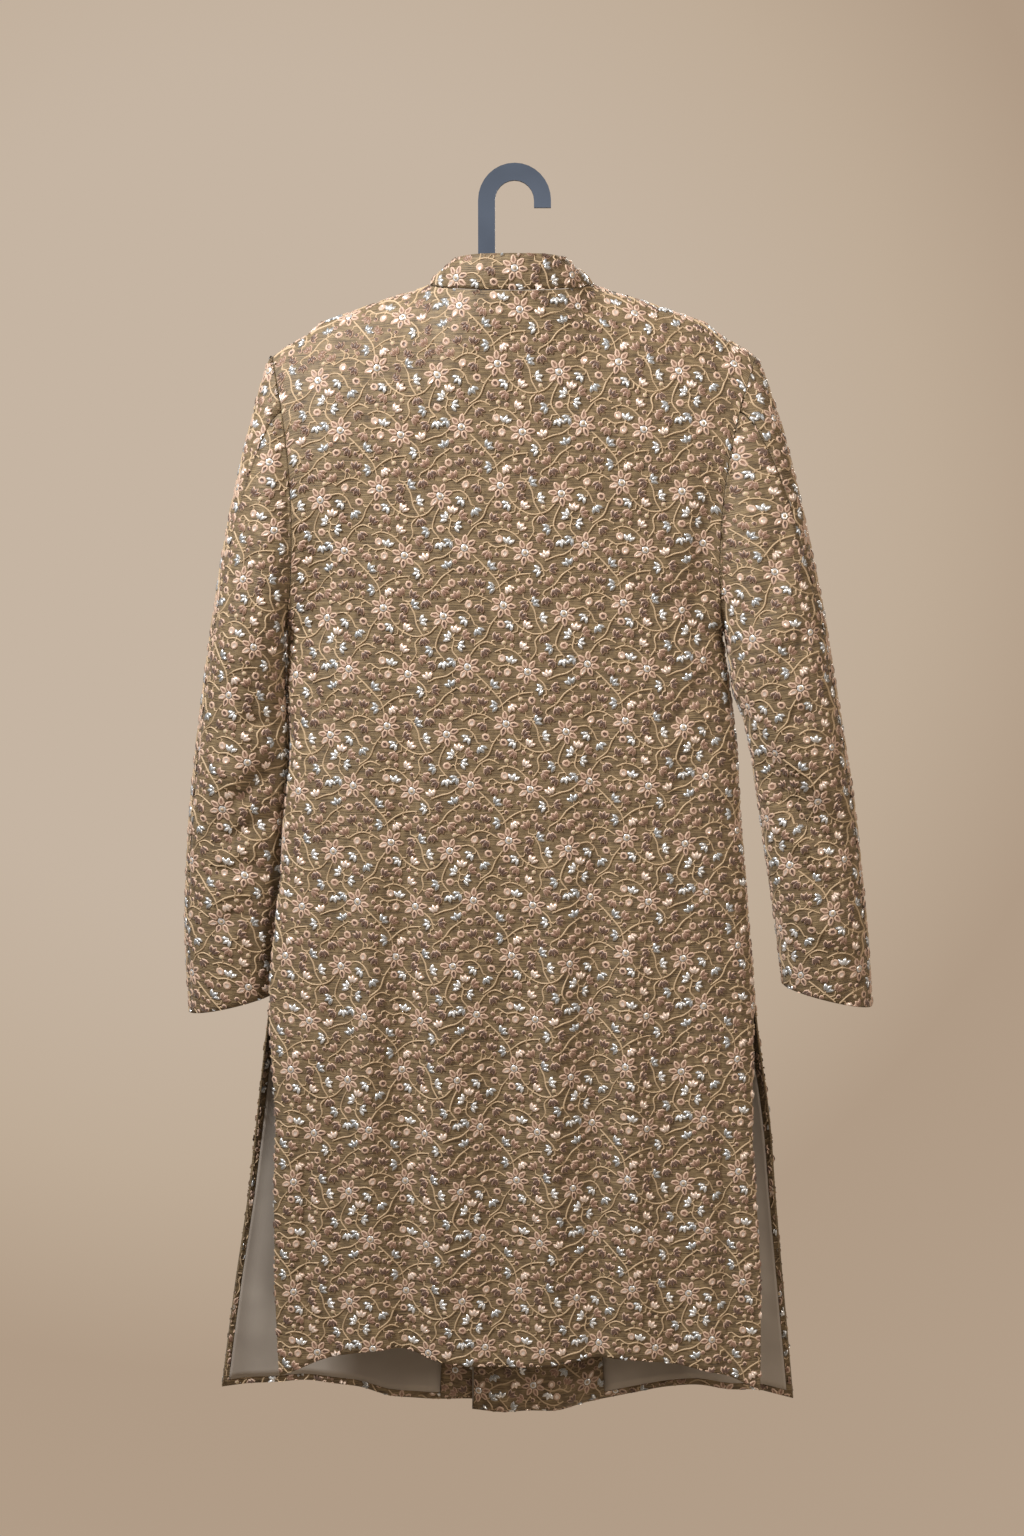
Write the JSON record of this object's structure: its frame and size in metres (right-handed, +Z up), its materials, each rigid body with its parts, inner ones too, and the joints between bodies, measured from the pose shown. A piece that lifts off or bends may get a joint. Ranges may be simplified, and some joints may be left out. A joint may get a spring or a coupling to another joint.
{
  "type": "sherwani coat on a hanger",
  "caption": "Long embroidered sherwani coat with stand collar, two-piece sleeves, side vents and buttoned front, hanging empty on a moulded hanger.",
  "frame": {"origin": "the seat inside the hanger's hook, where a rail carries it, in the middle of the hook's 5 mm thickness", "axes": "+Z up; +X to the wearer's left; the coat's front faces -Y and its back +Y"},
  "size_m": [0.6957, 0.1207, 1.2693],
  "materials": {
    "raw_silk": "slubbed raw silk with metallic and cord embroidery",
    "satin_lining": "soft satin",
    "button_metal": "antique satin",
    "hanger_plastic": "moulded, faintly glossy"
  },
  "bodies": {
    "root": {"back": "raw_silk", "button_1": "button_metal", "button_2": "button_metal", "button_3": "button_metal", "button_4": "button_metal", "button_5": "button_metal", "button_6": "button_metal", "button_7": "button_metal", "collar": "raw_silk", "facing_left": "raw_silk", "facing_right": "raw_silk", "front_left": "raw_silk", "front_right": "raw_silk", "hanger": "hanger_plastic", "lining_left": "satin_lining", "lining_right": "satin_lining", "sleeve_left_top": "raw_silk", "sleeve_left_under": "raw_silk", "sleeve_right_top": "raw_silk", "sleeve_right_under": "raw_silk"}
  },
  "joints": []
}
